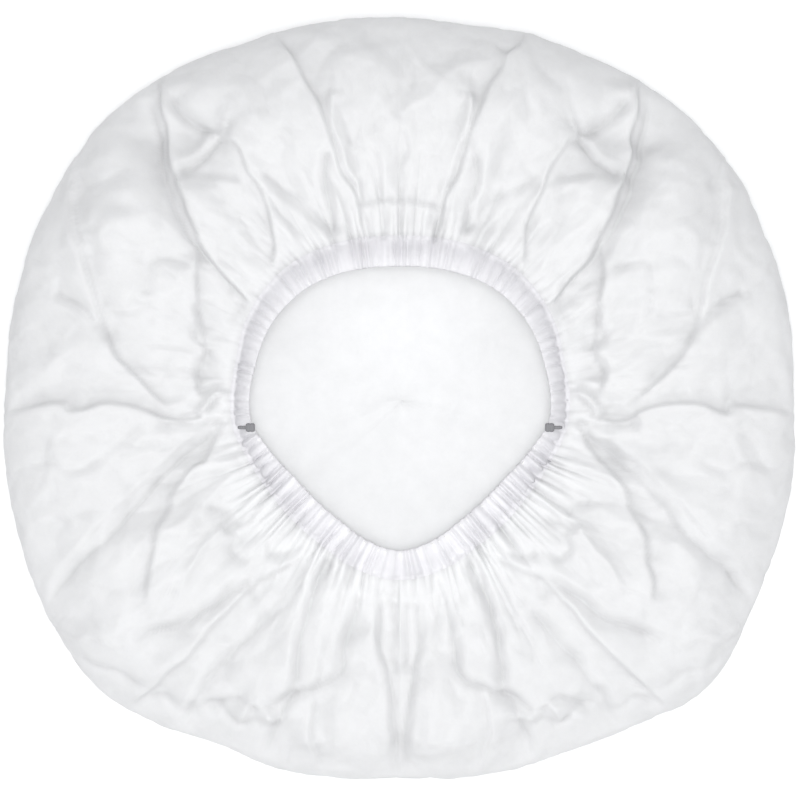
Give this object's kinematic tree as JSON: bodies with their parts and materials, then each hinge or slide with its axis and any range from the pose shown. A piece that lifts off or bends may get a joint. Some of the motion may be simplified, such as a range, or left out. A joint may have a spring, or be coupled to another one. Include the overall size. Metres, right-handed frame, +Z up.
{
  "type": "disposable hair cover cap",
  "caption": "Bouffant hair cover of thin white nonwoven, gathered into a pleated hem round an elastic, lying puffed on its crown with the mouth up.",
  "frame": {"origin": "on the surface that the cap lies on, under the middle of its outline", "axes": "+X across the cap's width, +Y towards the round side of the mouth, +Z up out of the mouth"},
  "size_m": [0.2894, 0.2822, 0.0495],
  "materials": {
    "nonwoven_crown": "matt spunbond nonwoven",
    "nonwoven_hem": "matt spunbond nonwoven",
    "elastic": "matt elastic",
    "elastic_end": "matt dark grey"
  },
  "bodies": {
    "root": {"crown": "nonwoven_crown", "hem_casing": "nonwoven_hem", "elastic_band": "elastic", "elastic_joint_left": "elastic_end", "elastic_joint_right": "elastic_end"}
  },
  "joints": []
}
